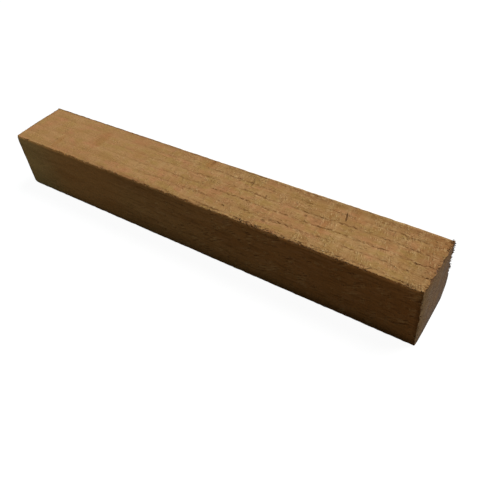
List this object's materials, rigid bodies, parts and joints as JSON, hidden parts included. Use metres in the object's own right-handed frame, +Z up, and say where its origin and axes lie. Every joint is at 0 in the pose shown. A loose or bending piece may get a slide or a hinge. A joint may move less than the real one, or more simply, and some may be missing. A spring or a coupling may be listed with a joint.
{
  "type": "wood turning blank",
  "caption": "Square sawn hardwood turning blank with torn fibres at one end cut, lying on a long face.",
  "frame": {"origin": "centre of the footprint, on the long face that the blank lies on", "axes": "+X along the grain towards the torn end, +Y across the face, +Z up"},
  "size_m": [0.1396, 0.019, 0.0191],
  "materials": {
    "sawn_hardwood": "bare, rough sawn"
  },
  "bodies": {
    "root": {"turning_blank": "sawn_hardwood"}
  },
  "joints": []
}
